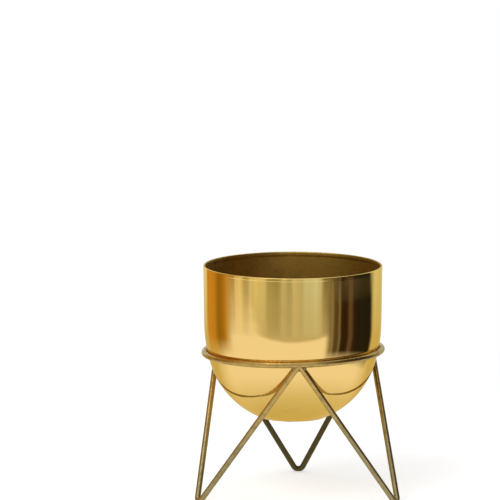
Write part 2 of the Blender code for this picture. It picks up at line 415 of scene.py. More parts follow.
def bar_colour_group(name):
    """Lighter at the hoop with painted bounce light, plain down the legs, tarnished in
    blotches, darker at the back with painted shade.
    """
    tree, given, result = new_tree(name, "ShaderNodeTree", [
        ("in", "Vector", "Place"),
        ("in", "Float", "Tarnish", 0.0),
        ("in", "Color", "Legs"),
        ("in", "Color", "Hoop"),
        ("in", "Color", "Dark"),
        ("in", "Float", "Back Shade", 1.0),
        ("out", "Color", "Colour"),
    ])
    split = add_node(tree, "ShaderNodeSeparateXYZ", Vector=given["Place"])
    # Painted light: the colour turns lighter up towards the hoop, for the bowl's bounce light.
    hoop_light = smooth_ramp(tree, split.outputs["Z"], *HOOP_LIGHT_HEIGHTS)
    clean = blend_colours(tree, hoop_light, given["Legs"], given["Hoop"])
    mottled = blend_colours(tree, given["Tarnish"], clean, given["Dark"])
    # Painted shade: darker behind the bowl's axis, for the bowl's shade over the back of the
    # stand.
    back = smooth_ramp(
        tree, split.outputs["Y"], *PAINTED_BACK_SHADE_DEPTHS, To_Min=1.0, To_Max=given["Back Shade"]
    )
    shade = add_node(tree, "ShaderNodeVectorMath", {"operation": "SCALE"}, Scale=back)
    link(tree, mottled, shade.inputs[0])
    link(tree, shade.outputs["Vector"], result["Colour"])
    return tree


def use_group(tree, group, **inputs):
    """The outputs of a group node with its named inputs filled."""
    return add_node(tree, "ShaderNodeGroup", {"node_tree": group}, **inputs).outputs


def spun_lines(tree, place, rings_per_metre, waviness):
    """Height and Mask of the spun rings."""
    return use_group(
        tree, shared_tree("Spun lines", spun_lines_group),
        Place=place, Rings_per_Metre=rings_per_metre, Waviness=waviness,
    )


def patches(tree, place, scale, low, high):
    """Mask and Grain of blotches of that scale."""
    return use_group(
        tree, shared_tree("Patches", patches_group),
        Place=place, Scale=scale, Low=low, High=high,
    )


def bar_colour(tree, colours, place, tarnish):
    """The stand's colour under a mask of tarnish, with its painted hoop light and painted back
    shade.
    """
    return use_group(
        tree, shared_tree("Bar colour", bar_colour_group),
        Place=place, Tarnish=tarnish, Back_Shade=colours.back_shade,
        Legs=opaque(colours.antique), Hoop=opaque(colours.hoop_painted_light),
        Dark=opaque(colours.tarnish),
    )["Colour"]


def opaque(colour, amount=1.0):
    """A plain colour scaled by amount, with full alpha."""
    return (*(channel * amount for channel in colour), 1.0)


def blend_colours(tree, factor, first, second):
    """The colour of a Mix node from first to second."""
    node = add_node(tree, "ShaderNodeMix", {"data_type": "RGBA"}, Factor=factor)
    link(tree, first, node.inputs[MIX_FIRST_COLOUR])
    link(tree, second, node.inputs[MIX_SECOND_COLOUR])
    return node.outputs[MIX_COLOUR_RESULT]


def spread_value(tree, factor, low, high):
    """factor, from 0 to 1, stretched to run from low to high."""
    node = add_node(tree, "ShaderNodeMapRange", Value=factor, To_Min=low, To_Max=high)
    return node.outputs["Result"]


def uneven(tree, fine, low, high, broad, extra):
    """A roughness from low to high after fine, with up to extra more where broad is 1."""
    spread = spread_value(tree, fine, low, high)
    return maths(tree, "ADD", spread, maths(tree, "MULTIPLY", broad, extra))


# ------------ finishes


# The tint of polished brass at a grazing angle.
EDGE_TINT = (0.95, 0.80, 0.55, 1.0)


def new_metal(name):
    """A metal material's node tree, and object coordinates from the bowl's axis."""
    material = bpy.data.materials.new(name)
    material.use_nodes = True
    tree = material.node_tree
    tree.nodes["Principled BSDF"].inputs["Metallic"].default_value = 1.0
    centred = add_node(
        tree, "ShaderNodeMapping", Vector=object_place(tree), Location=-BOWL_AXIS
    )
    return tree, centred.outputs["Vector"]


def raised(tree, height, strength, distance, **under):
    """The normal of a surface that height raises, over another where one is given."""
    node = add_node(
        tree, "ShaderNodeBump", Height=height, Strength=strength, Distance=distance, **under
    )
    return node.outputs["Normal"]


def finish_metal(tree, colour, roughness, normal):
    """Feed the metal's shader."""
    shader = tree.nodes["Principled BSDF"]
    link(tree, colour, shader.inputs["Base Color"])
    link(tree, roughness, shader.inputs["Roughness"])
    link(tree, normal, shader.inputs["Normal"])


def polished_brass(name, colours):
    """Mirror-polished, lacquered brass with faint spun rings and a few dull smudges."""
    tree, place = new_metal(name)
    rings = spun_lines(tree, place, rings_per_metre=1300.0, waviness=0.5)
    smudges = patches(tree, place, scale=22.0, low=0.50, high=0.72)
    colour = blend_colours(
        tree, smudges["Mask"], opaque(colours.polished), opaque(colours.polished, 0.93)
    )
    roughness = uneven(
        tree, rings["Mask"], low=0.02, high=0.05, broad=smudges["Mask"], extra=0.07
    )
    dents = add_node(tree, "ShaderNodeTexNoise", Vector=place, Scale=26.0, Detail=1.0)
    ripple = raised(tree, dents.outputs["Fac"], strength=0.25, distance=1.0 * MM)
    grooves = raised(
        tree, rings["Height"], strength=0.05, distance=0.6 * MM, Normal=ripple
    )
    finish_metal(tree, colour, roughness, grooves)
    tree.nodes["Principled BSDF"].inputs["Specular Tint"].default_value = EDGE_TINT


def inside_brass_with_painted_shade(name, colours):
    """The inside of the bowl: unpolished brass with clear spinning rings, darkened brown as
    painted shade inside the bowl.
    """
    tree, place = new_metal(name)
    rings = spun_lines(tree, place, rings_per_metre=700.0, waviness=0.4)
    stains = patches(tree, place, scale=28.0, low=0.40, high=0.68)
    # Painted shade: the inside's colour is darkened for the shade inside the bowl.
    colour = blend_colours(
        tree, stains["Mask"], opaque(colours.inside_with_painted_shade), opaque(colours.inside_with_painted_shade, 0.6)
    )
    roughness = uneven(
        tree, rings["Mask"], low=0.32, high=0.44, broad=stains["Mask"], extra=0.12
    )
    grooves = raised(tree, rings["Height"], strength=0.25, distance=0.5 * MM)
    finish_metal(tree, colour, roughness, grooves)


def antique_brass(name, colours):
    """Satin bar, antiqued: darker blotches over brass, painted lighter at the hoop and with
    painted shade darkest at the back.
    """
    tree, place = new_metal(name)
    tarnish = patches(tree, place, scale=130.0, low=0.42, high=0.74)
    colour = bar_colour(tree, colours, place, tarnish["Mask"])
    roughness = uneven(
        tree, tarnish["Grain"], low=0.22, high=0.38, broad=tarnish["Mask"], extra=0.15
    )
    grain = raised(tree, tarnish["Grain"], strength=0.22, distance=0.3 * MM)
    finish_metal(tree, colour, roughness, grain)


def weld_brass(name, colours):
    """Brazed bead: duller and more pitted than the bars that it joins."""
    tree, place = new_metal(name)
    scale = patches(tree, place, scale=320.0, low=0.38, high=0.62)
    # The bead carries the stand's painted hoop light and painted back shade.
    colour = bar_colour(tree, colours, place, scale["Mask"])
    roughness = spread_value(tree, scale["Grain"], low=0.30, high=0.55)
    pits = raised(tree, scale["Grain"], strength=0.5, distance=0.4 * MM)
    finish_metal(tree, colour, roughness, pits)


FINISHES = {
    "polished_brass_outside": polished_brass,
    "inside_brass_painted_shade": inside_brass_with_painted_shade,
    "antique_brass_bar": antique_brass,
    "brazed_bead": weld_brass,
}


def material_for(name):
    """The finish of that name, made once for the whole planter."""
    if name not in bpy.data.materials:
        FINISHES[name](name, bpy.context.scene.planter_colours)
    return bpy.data.materials[name]


# ------------ geometry trees


# A Random Value node's sockets for plain numbers, which share their names with others.
RANDOM_LEAST = 2
RANDOM_MOST = 3
RANDOM_RESULT = 1


def turned_shell_tree(name):
    """A section in the XZ plane turned round the Z axis, with its own inside material."""
    tree, given, result = new_tree(name, "GeometryNodeTree", [
        ("in", "Geometry", "Section"),
        ("in", "Int", "Steps", 288),
        ("in", "Int", "Rings", 2),
        ("in", "Int", "First Outside Ring", 1),
        ("in", "Material", "Outside"),
        ("in", "Material", "Inside"),
        ("out", "Geometry", "Shell"),
    ])
    columns = maths(tree, "ADD", given["Steps"], 1.0)
    grid = add_node(tree, "GeometryNodeMeshGrid", Vertices_X=columns, Vertices_Y=given["Rings"])
    index = tree.nodes.new("GeometryNodeInputIndex").outputs["Index"]
    column = maths(tree, "FLOOR", maths(tree, "DIVIDE", index, given["Rings"]))
    ring = maths(tree, "MODULO", index, given["Rings"])
    turn = maths(tree, "DIVIDE", maths(tree, "MULTIPLY", column, math.tau), given["Steps"])

    place = tree.nodes.new("GeometryNodeInputPosition").outputs["Position"]
    sample = add_node(
        tree, "GeometryNodeSampleIndex", {"data_type": "FLOAT_VECTOR"},
        Geometry=given["Section"], Value=place, Index=ring,
    )
    rotate = add_node(
        tree, "ShaderNodeVectorRotate", {"rotation_type": "Z_AXIS"},
        Vector=sample.outputs["Value"], Angle=turn,
    )
    keep_ring = add_node(
        tree, "GeometryNodeStoreNamedAttribute",
        Geometry=grid.outputs["Mesh"], Name="ring", Value=ring,
    )
    bend = add_node(
        tree, "GeometryNodeSetPosition",
        Geometry=keep_ring.outputs["Geometry"], Position=rotate.outputs["Vector"],
    )
    closed = add_node(
        tree, "GeometryNodeMergeByDistance",
        Geometry=bend.outputs["Geometry"], Distance=TOUCHING,
    )
    coated = coat(tree, closed.outputs["Geometry"], given["Outside"])
    kept_ring = add_node(tree, "GeometryNodeInputNamedAttribute", Name="ring")
    is_inside = add_node(
        tree, "FunctionNodeCompare", {"operation": "LESS_THAN"},
        A=kept_ring.outputs["Attribute"], B=given["First Outside Ring"],
    )
    inside = add_node(
        tree, "GeometryNodeSetMaterial",
        Geometry=coated, Selection=is_inside.outputs["Result"], Material=given["Inside"],
    )
    link(tree, inside.outputs["Geometry"], result["Shell"])
    return tree


def round_bar_tree(name):
    """A round bar swept along a chain of edges."""
    tree, given, result = new_tree(name, "GeometryNodeTree", [
        ("in", "Geometry", "Path"),
        ("in", "Float", "Radius", 2.9 * MM),
        ("in", "Int", "Sides", 32),
        ("in", "Material", "Finish"),
        ("out", "Geometry", "Bar"),
    ])
    path = add_node(tree, "GeometryNodeMeshToCurve", Mesh=given["Path"])
    ring = add_node(
        tree, "GeometryNodeCurvePrimitiveCircle",
        Resolution=given["Sides"], Radius=given["Radius"],
    )
    sweep = add_node(
        tree, "GeometryNodeCurveToMesh",
        Curve=path.outputs["Curve"], Profile_Curve=ring.outputs["Curve"], Fill_Caps=True,
    )
    link(tree, coat(tree, sweep.outputs["Mesh"], given["Finish"]), result["Bar"])
    return tree


def brazed_bead_tree(name):
    """A rippled bead: overlapping drops along a path, run together into one skin."""
    tree, given, result = new_tree(name, "GeometryNodeTree", [
        ("in", "Geometry", "Path"),
        ("in", "Float", "Drop Radius", 2.0 * MM),
        ("in", "Float", "Drop Spacing", 1.0 * MM),
        ("in", "Float", "Unevenness", 0.15),
        ("in", "Float", "Voxel", 0.3 * MM),
        ("in", "Int", "Seed", 3),
        ("in", "Material", "Finish"),
        ("out", "Geometry", "Bead"),
    ])
    path = add_node(tree, "GeometryNodeMeshToCurve", Mesh=given["Path"])
    spots = add_node(
        tree, "GeometryNodeCurveToPoints", {"mode": "LENGTH"},
        Curve=path.outputs["Curve"], Length=given["Drop Spacing"],
    )
    drop = add_node(
        tree, "GeometryNodeMeshIcoSphere", Subdivisions=4, Radius=given["Drop Radius"]
    )
    chance = add_node(
        tree, "FunctionNodeRandomValue", {"data_type": "FLOAT"}, Seed=given["Seed"]
    )
    least = maths(tree, "SUBTRACT", 1.0, given["Unevenness"])
    link(tree, least, chance.inputs[RANDOM_LEAST])
    link(tree, 1.0, chance.inputs[RANDOM_MOST])
    place = add_node(
        tree, "GeometryNodeInstanceOnPoints",
        Points=spots.outputs["Points"], Instance=drop.outputs["Mesh"],
        Scale=chance.outputs[RANDOM_RESULT],
    )
    real = add_node(tree, "GeometryNodeRealizeInstances", Geometry=place.outputs["Instances"])
    volume = add_node(
        tree, "GeometryNodeMeshToVolume", {"resolution_mode": "VOXEL_SIZE"},
        Mesh=real.outputs["Geometry"], Voxel_Size=given["Voxel"],
    )
    skin = add_node(tree, "GeometryNodeVolumeToMesh", Volume=volume.outputs["Volume"])
    link(tree, coat(tree, skin.outputs["Mesh"], given["Finish"]), result["Bead"])
    return tree


def coat(tree, geometry, finish):
    """The end of a tree: smooth shading, real geometry, one material."""
    smooth = add_node(tree, "GeometryNodeSetShadeSmooth", Geometry=geometry)
    real = add_node(tree, "GeometryNodeRealizeInstances", Geometry=smooth.outputs["Geometry"])
    coated = add_node(
        tree, "GeometryNodeSetMaterial", Geometry=real.outputs["Geometry"], Material=finish
    )
    return coated.outputs["Geometry"]


# ------------ bowl


# How many steps each stretch of the shell's section is drawn in.
WALL_STEPS = 10
SHOULDER_STEPS = 12
DOME_STEPS = 36
BASE_STEPS = 8
LIP_STEPS = 14
# The inside's material, darkened with painted shade, runs over the lip for this many of its
# points.
LIP_POINTS_INSIDE = 8
# Extra points just past a change of direction keep the shading of long faces straight:
# a share of the wall's length, and distances from the hem's end and the mark's edge.
WALL_GUARD = 0.004
HEM_GUARD = 0.4 * MM
MARK_GUARD = 0.15 * MM
# Height over which the hem's inner side slopes back to the sheet.
HEM_SLOPE = 1.2 * MM
# The faint mark below the lip, where the hem ends behind the sheet.
MARK_DEPTH = 0.09 * MM
MARK_HALF_WIDTH = 0.45 * MM
MARK_FLOOR_HALF_WIDTH = 0.15 * MM


def arc(centre, radius, start, end, count):
    """Points of an arc in the XZ plane, both ends included, angles from +X towards +Z."""
    points = []
    for step in range(count + 1):
        angle = start + (end - start) * step / count
        x = centre[0] + radius * math.cos(angle)
        z = centre[1] + radius * math.sin(angle)
        points.append(Vector((x, z)))
    return points


def shoulder_arc(bowl):
    """Centre and radius of the arc that touches both the tapered wall and the dome."""
    drop = bowl.rim_height - bowl.shoulder_height
    wall = Vector((bowl.rim_radius - bowl.shoulder_radius, drop)).normalized()
    inward = Vector((-wall.y, wall.x))
    wall_end = Vector((bowl.shoulder_radius, bowl.shoulder_height))
    from_dome = wall_end - Vector((0.0, bowl.dome_centre_height))
    slack = 2 * (from_dome.dot(inward) + bowl.dome_radius)
    radius = (bowl.dome_radius**2 - from_dome.length_squared) / slack
    return wall_end + inward * radius, radius


def shell_side(bowl, inset, top):
    """One face of the sheet, inset from the outside, from height top down to the axis."""
    taper = math.atan2(
        bowl.rim_radius - bowl.shoulder_radius, bowl.rim_height - bowl.shoulder_height
    )
    wall_top = bowl.rim_radius - (bowl.rim_height - top) * math.tan(taper) - inset
    centre, radius = shoulder_arc(bowl)
    meeting = math.atan2(bowl.dome_centre_height - centre.y, -centre.x)
    shoulder = arc(centre, radius - inset, -taper, meeting, SHOULDER_STEPS)
    floor = bowl.base_height + inset
    dome_radius = bowl.dome_radius - inset
    dome_end = -math.asin((bowl.dome_centre_height - floor) / dome_radius)
    dome = arc((0.0, bowl.dome_centre_height), dome_radius, meeting, dome_end, DOME_STEPS)

    shares = [0.0, WALL_GUARD] + [step / WALL_STEPS for step in range(1, WALL_STEPS)]
    wall = [Vector((wall_top, top)).lerp(shoulder[0], share) for share in shares]
    middle = Vector((0.0, floor))
    base = [dome[-1].lerp(middle, step / BASE_STEPS) for step in range(1, BASE_STEPS + 1)]
    return wall + shoulder + dome[1:] + base


def bowl_section(bowl):
    """The sheet's section from the inside floor's centre, over the rim, to the base's.

    Also gives how many of its points belong to the inside.
    """
    hem_end = bowl.rim_height - bowl.hem_depth
    inside = shell_side(bowl, bowl.sheet, hem_end - HEM_SLOPE)
    outside = shell_side(bowl, 0.0, hem_end - MARK_HALF_WIDTH)
    hem_inner = bowl.rim_radius - bowl.hem_thickness
    hem = [Vector((hem_inner, hem_end + shift)) for shift in (0.0, HEM_GUARD)]
    lip_radius = bowl.hem_thickness / 2
    lip_centre = (bowl.rim_radius - lip_radius, bowl.rim_height - lip_radius)
    lip = arc(lip_centre, lip_radius, math.pi, 0.0, LIP_STEPS)
    mark = [
        Vector((bowl.rim_radius - depth, height))
        for depth, height in (
            (0.0, lip_centre[1] - MARK_GUARD),
            (0.0, hem_end + MARK_HALF_WIDTH + MARK_GUARD),
            (0.0, hem_end + MARK_HALF_WIDTH),
            (MARK_DEPTH, hem_end + MARK_FLOOR_HALF_WIDTH),
            (MARK_DEPTH, hem_end - MARK_FLOOR_HALF_WIDTH),
        )
    ]
    section = inside[::-1] + hem + lip + mark + outside
    return section, len(inside) + len(hem) + LIP_POINTS_INSIDE


def build_bowl():
    bowl = bpy.context.scene.planter_bowl
    section, inside_points = bowl_section(bowl)
    points = [(point.x, 0.0, point.y) for point in section]
    tree = shared_tree("Turned shell", turned_shell_tree)
    shell = grown("bowl_shell", line_mesh("bowl_section", points), tree, {
        "Steps": bowl.steps,
        "Rings": len(section),
        "First Outside Ring": inside_points,
        "Outside": material_for("polished_brass_outside"),
        "Inside": material_for("inside_brass_painted_shade"),
    })
    shell.data.transform(Matrix.Translation(BOWL_AXIS))
    face_outwards(shell.data)
    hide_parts("bowl")
    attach(shell, "bowl")


def face_outwards(mesh):
    """Merge what touches and turn every face outwards."""
    bm = bmesh.new()
    bm.from_mesh(mesh)
    bmesh.ops.remove_doubles(bm, verts=bm.verts, dist=TOUCHING)
    bmesh.ops.recalc_face_normals(bm, faces=bm.faces)
    bm.to_mesh(mesh)
    bm.free()


# ------------ stand


# How many steps each stretch of bar is drawn in.
HOOP_STEPS = 360
LIMB_STEPS = 12
BEND_STEPS = 28
# Rounds in which a foot's height settles, because its limbs lean with it.
SETTLING_STEPS = 6
# Half of the gap that the closing bead fills in the hoop, and half of that bead.
SEAM_HALF_GAP = math.radians(0.7)
SEAM_BEAD_HALF_SPAN = math.radians(0.9)
SEAM_DROP_RADIUS = 2.95 * MM
SEAM_DROP_SPACING = 0.7 * MM
SEAM_SEED = 11
# A joint's bead, in bar radii: how far below the joint it hangs at its middle and at
# its flanks, and how far it reaches to each side.
BEAD_MIDDLE_DROP = 1.75
BEAD_FLANK_DROP = 1.2
BEAD_REACH = 1.9
BEAD_DROP_RADIUS = 2.3 * MM
BEAD_DROP_SPACING = 1.0 * MM


def around(radius, azimuth, height=0.0):
    return Vector((radius * math.cos(azimuth), radius * math.sin(azimuth), height))


def hoop_centre():
    """The hoop's centre: its bar clears the bowl by the seat gap all round."""
    stand = bpy.context.scene.planter_stand
    centre, radius = shoulder_arc(bpy.context.scene.planter_bowl)
    reach = radius + stand.seat_gap + stand.bar_radius
    out = stand.hoop_radius - centre.x
    drop = math.sqrt(reach**2 - out**2)
    slide = stand.hoop_radius * math.sin(stand.hoop_tilt) * drop / out
    return BOWL_AXIS + Vector((slide, 0.0, centre.y - drop))


def on_hoop(azimuth):
    """A point of the tilted hoop's centre line."""
    stand = bpy.context.scene.planter_stand
    tilt = Matrix.Rotation(-stand.hoop_tilt, 3, "Y")
    return tilt @ around(stand.hoop_radius, azimuth) + hoop_centre()


def foot_corner(side):
    """Where the straight lines of a leg's two limbs would cross, just under the floor."""
    stand = bpy.context.scene.planter_stand
    azimuth, joints = FEET[side]
    corner = BOWL_AXIS + around(stand.foot_radius, azimuth) + Vector((stand.feet_shift, 0, 0))
    for _ in range(SETTLING_STEPS):
        limbs = [(on_hoop(JOINTS[joint]) - corner).normalized() for joint in joints]
        half_angle = limbs[0].angle(limbs[1]) / 2
        bisector = (limbs[0] + limbs[1]).normalized()
        bend_above_corner = stand.bend_radius / math.sin(half_angle) - stand.bend_radius
        lift = bend_above_corner * bisector.z
        corner.z = stand.bar_radius - stand.foot_flat_depth - lift
    return corner


def hairpin_path(side):
    """From one weld down to the foot's bend and up to the next weld."""
    stand = bpy.context.scene.planter_stand
    corner = foot_corner(side)
    start, end = [on_hoop(JOINTS[joint]) for joint in FEET[side][1]]
    to_start = (start - corner).normalized()
    to_end = (end - corner).normalized()
    half_angle = to_start.angle(to_end) / 2
    bisector = (to_start + to_end).normalized()
    centre = corner + bisector * stand.bend_radius / math.sin(half_angle)
    spoke = corner + to_start * stand.bend_radius / math.tan(half_angle) - centre
    sweep = math.pi - 2 * half_angle
    pivot = to_end.cross(to_start)
    bend = [
        centre + Matrix.Rotation(sweep * step / BEND_STEPS, 3, pivot) @ spoke
        for step in range(BEND_STEPS + 1)
    ]
    down = [start.lerp(bend[0], step / LIMB_STEPS) for step in range(LIMB_STEPS)]
    up = [bend[-1].lerp(end, step / LIMB_STEPS) for step in range(1, LIMB_STEPS + 1)]
    return down + bend + up


def bar_piece(name, path, node):
    """A swept bar that stands for a CAD node and stays with the stand."""
    stand = bpy.context.scene.planter_stand
    tree = shared_tree("Round bar", round_bar_tree)
    piece = grown(name, line_mesh(name + "_path", path), tree, {
        "Radius": stand.bar_radius,
        "Sides": stand.bar_sides,
        "Finish": material_for("antique_brass_bar"),
    })
    face_outwards(piece.data)
    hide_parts(node)
    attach(piece, "stand")
    return piece


def build_hoop():
    start = SEAM_AZIMUTH + SEAM_HALF_GAP
    sweep = math.tau - 2 * SEAM_HALF_GAP
    path = [on_hoop(start + sweep * step / HOOP_STEPS) for step in range(HOOP_STEPS + 1)]
    bar_piece("hoop_bar", path, "stand_hoop")


def grind_flat(piece):
    """Press what reaches below the floor up to it, as the ground-off foot."""
    for vertex in piece.data.vertices:
        vertex.co.z = max(vertex.co.z, 0.0)


def build_leg(side):
    piece = bar_piece(f"leg_{side}_bar", hairpin_path(side), "leg_" + side)
    grind_flat(piece)


def bead_piece(name, path, node, radius, spacing, seed):
    """A brazed bead that stands for a CAD node and stays with the stand."""
    tree = shared_tree("Brazed bead", brazed_bead_tree)
    piece = grown(name, line_mesh(name + "_path", path), tree, {
        "Drop Radius": radius,
        "Drop Spacing": spacing,
        "Seed": seed,
        "Finish": material_for("brazed_bead"),
    })
    face_outwards(piece.data)
    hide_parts(node)
    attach(piece, "stand")


def build_crotch_weld(place, seed):
    """A bead that wraps the joint under the hoop from one leg's flank to the other's."""
    bar = bpy.context.scene.planter_stand.bar_radius
    joint = on_hoop(JOINTS[place])
    limbs = [(foot_corner(side) - joint).normalized() for side in WELDED_LEGS[place]]
    down = (limbs[0] + limbs[1]).normalized()
    side = (limbs[0] - limbs[1]).normalized()
    path = [
        joint + down * bar * BEAD_FLANK_DROP + side * bar * BEAD_REACH,
        joint + down * bar * BEAD_MIDDLE_DROP,
        joint + down * bar * BEAD_FLANK_DROP - side * bar * BEAD_REACH,
    ]
    bead_piece(
        f"weld_{place}_bead", path, "weld_" + place,
        BEAD_DROP_RADIUS, BEAD_DROP_SPACING, seed,
    )


def build_seam_weld():
    """The bead that closes the hoop at the back, dressed nearly flush."""
    path = [on_hoop(SEAM_AZIMUTH + SEAM_BEAD_HALF_SPAN * step) for step in (-1, 0, 1)]
    bead_piece(
        "hoop_seam_bead", path, "hoop_seam_weld",
        SEAM_DROP_RADIUS, SEAM_DROP_SPACING, SEAM_SEED,
    )


# ------------ stage


# Panels of the studio surround that only reflections see. Angles run from the camera's
# side, in degrees, positive to the right. Colours are plain linear light.
SURROUND_SHADE = (0.60, 0.61, 0.49)
SURROUND_PANELS = [
    # start, end, edge, colour
    (-180, -140, 10, (0.85, 0.90, 0.80)),
    (-140, -84, 6, (0.60, 0.34, 0.06)),
    (-109, -90, 8, (0.38, 0.21, 0.02)),
    (-84, -76, 5, (0.46, 0.33, 0.11)),
    (-76, -64, 6, (0.76, 0.70, 0.46)),
    (-64, -56, 6, (0.44, 0.42, 0.20)),
    (-54, -34, 8, (0.78, 0.77, 0.54)),
    (-32, -14, 8, (0.37, 0.37, 0.20)),
    (-8, -3, 5, (0.49, 0.49, 0.35)),
    (12, 34, 10, (0.66, 0.78, 0.78)),
    (37, 46, 6, (0.20, 0.18, 0.10)),
    (46, 55, 6, (0.11, 0.08, 0.05)),
    (55, 114, 5, (0.035, 0.020, 0.009)),
    (67, 74, 4, (0.12, 0.08, 0.06)),
    (79, 112, 4, (0.020, 0.018, 0.014)),
    (117, 180, 5, (0.74, 0.80, 0.66)),
]
# Streaks over the panels: their width in degrees, how much they change the light, and
# how they break up into finer ones.
STREAK_WIDTH = 8.0
STREAK_STRENGTH = 0.22
STREAK_FALLOFF = 0.7
STREAK_FINENESS_STEP = 2.0
STREAK_OCTAVES = 3
# Screens round the pot: name, radius, start, end, side fade and heights. The surround is
# the room. The two near ones carry its dark and its amber panels further down the wall.
SCREENS = [
    ("surround", 0.85, -180, 180, 0, (0.0, 0.10, 1.3, 1.4)),
    ("near_dark_flag", 0.32, 35, 116, 10, (0.0, 0.06, 0.16, 0.24)),
    ("near_amber_card", 0.42, -140, -74, 16, (0.0, 0.08, 0.20, 0.28)),
]
SCREEN_COLUMNS_PER_DEGREE = 2
# The floor as the brass sees it: a painted shadow of the pot with its brass bounce light close
# under the bowl and behind it, pale in front, and the colour of the room past the table's edge.
TABLE_SHADOW_AND_BOUNCE = (0.68, 0.64, 0.36, 1.0)
PALE_TABLE = (0.98, 0.98, 1.0, 1.0)
ROOM_SHADE = (0.60, 0.59, 0.47, 1.0)
WARM_TO_PALE = (0.02, 0.24)
WARM_BEHIND = (0.0, 0.2)
TABLE_EDGE = (-0.65, -0.79)
# The floor as the camera sees it: lit, lifted to white, and plain white further out.
FLOOR_GREY = (0.88, 0.88, 0.88, 1.0)
FLOOR_LIFT = 0.44
PLAIN_WHITE = (0.25, 0.9)
FLOOR_SIDES = 96
# The world's strength on the object. Where it is seen it is white, which is 1.
ROOM_LIGHT = 0.6
LAMP_PLACE = (-1.2, -1.6, 2.4)
LAMP_AIM = (0.0, 0.0, 0.12)
SENSOR_WIDTH_MM = 36.0
CAMERA_REACH = 100.0


def surround_colour(angle):
    """The surround's light at an angle, later panels lying over earlier ones."""
    colour = Vector(SURROUND_SHADE)
    for start, end, edge, panel in SURROUND_PANELS:
        colour = colour.lerp(Vector(panel), soft_cover(angle, start, end, edge))
    place = Vector((angle / STREAK_WIDTH, 0.0, 0.0))
    streak = noise.fractal(place, STREAK_FALLOFF, STREAK_FINENESS_STEP, STREAK_OCTAVES)
    return colour * (1.0 + STREAK_STRENGTH * streak)


def soft_cover(value, start, end, edge):
    """1 between start and end, fading to 0 over an edge centred on each."""
    rise = (value - start) / edge + 0.5
    fall = (end - value) / edge + 0.5
    cover = min(max(min(rise, fall), 0.0), 1.0)
    return cover * cover * (3 - 2 * cover)


def glowing(name):
    """Light painted on the mesh, clear where the paint is clear."""
    material = bpy.data.materials.new(name)
    material.use_nodes = True
    tree = material.node_tree
    tree.nodes.clear()
    paint = add_node(tree, "ShaderNodeAttribute", {"attribute_name": "light"})
    glow = add_node(tree, "ShaderNodeEmission", Color=paint.outputs["Color"])
    clear = tree.nodes.new("ShaderNodeBsdfTransparent")
    cover = mix_shaders(
        tree, paint.outputs["Alpha"], clear.outputs["BSDF"], glow.outputs["Emission"]
    )
    add_node(tree, "ShaderNodeOutputMaterial", Surface=cover)
    return material


def mix_shaders(tree, factor, first, second):
    """The shader that runs from first to second."""
    node = add_node(tree, "ShaderNodeMixShader", Fac=factor)
    link(tree, first, node.inputs[1])
    link(tree, second, node.inputs[2])
    return node.outputs["Shader"]


def curved_screen(name, radius, start, end, side_fade, heights):
    """A screen round the pot between two angles, lit by surround_colour.

    Only reflections see it. It fades in over side_fade degrees at its ends, and from
    the first to the second height and from the last but one to the last.
    """
    count = (end - start) * SCREEN_COLUMNS_PER_DEGREE
    angles = [start + (end - start) * step / count for step in range(count + 1)]
    mesh = bpy.data.meshes.new(name)
    rows = len(heights)
    vertices = [
        BOWL_AXIS + around(radius, math.radians(angle - 90), height)
        for angle in angles
        for height in heights
    ]
    faces = [
        (rows * step + row, rows * step + row + 1,
         rows * step + rows + row + 1, rows * step + rows + row)
        for step in range(count)
        for row in range(rows - 1)
    ]
    mesh.from_pydata(vertices, [], faces)
    paint = mesh.attributes.new("light", "FLOAT_COLOR", "POINT")
    for step, angle in enumerate(angles):
        side = 1.0
        if side_fade:
            side = soft_cover(angle, start + side_fade / 2, end - side_fade / 2, side_fade)
        for row in range(rows):
            level = 0.0 if row in (0, rows - 1) else 1.0
            paint.data[rows * step + row].color = (*surround_colour(angle), side * level)
    mesh.materials.append(glowing(name + "_light"))
    screen = new_object(name, mesh)
    for sight in ("camera", "diffuse", "shadow", "transmission", "volume_scatter"):
        setattr(screen, "visible_" + sight, False)


def radial_mask(tree, near, far):
    """0 nearer to the bowl's axis than near, 1 beyond far."""
    distance = add_node(tree, "ShaderNodeVectorMath", {"operation": "DISTANCE"})
    link(tree, object_place(tree), distance.inputs[0])
    link(tree, BOWL_AXIS, distance.inputs[1])
    return smooth_ramp(tree, distance.outputs["Value"], near, far)


def table_glow(tree):
    """What the brass sees in the floor: pale, with a painted shadow and brass bounce light
    under and behind the bowl.
    """
    # Painted shadow and brass bounce light close under the bowl, fading to pale further out.
    pale = blend_colours(tree, radial_mask(tree, *WARM_TO_PALE), TABLE_SHADOW_AND_BOUNCE, PALE_TABLE)
    split = add_node(tree, "ShaderNodeSeparateXYZ", Vector=object_place(tree))
    depth = split.outputs["Y"]
    start, end = WARM_BEHIND
    behind = add_node(tree, "ShaderNodeMapRange", Value=depth, From_Min=start, From_Max=end)
    # The same painted shadow and bounce light behind the bowl.
    table = blend_colours(tree, behind.outputs["Result"], pale, TABLE_SHADOW_AND_BOUNCE)
    past_edge = smooth_ramp(tree, depth, *TABLE_EDGE)
    colour = blend_colours(tree, past_edge, table, ROOM_SHADE)
    return add_node(tree, "ShaderNodeEmission", Color=colour).outputs["Emission"]


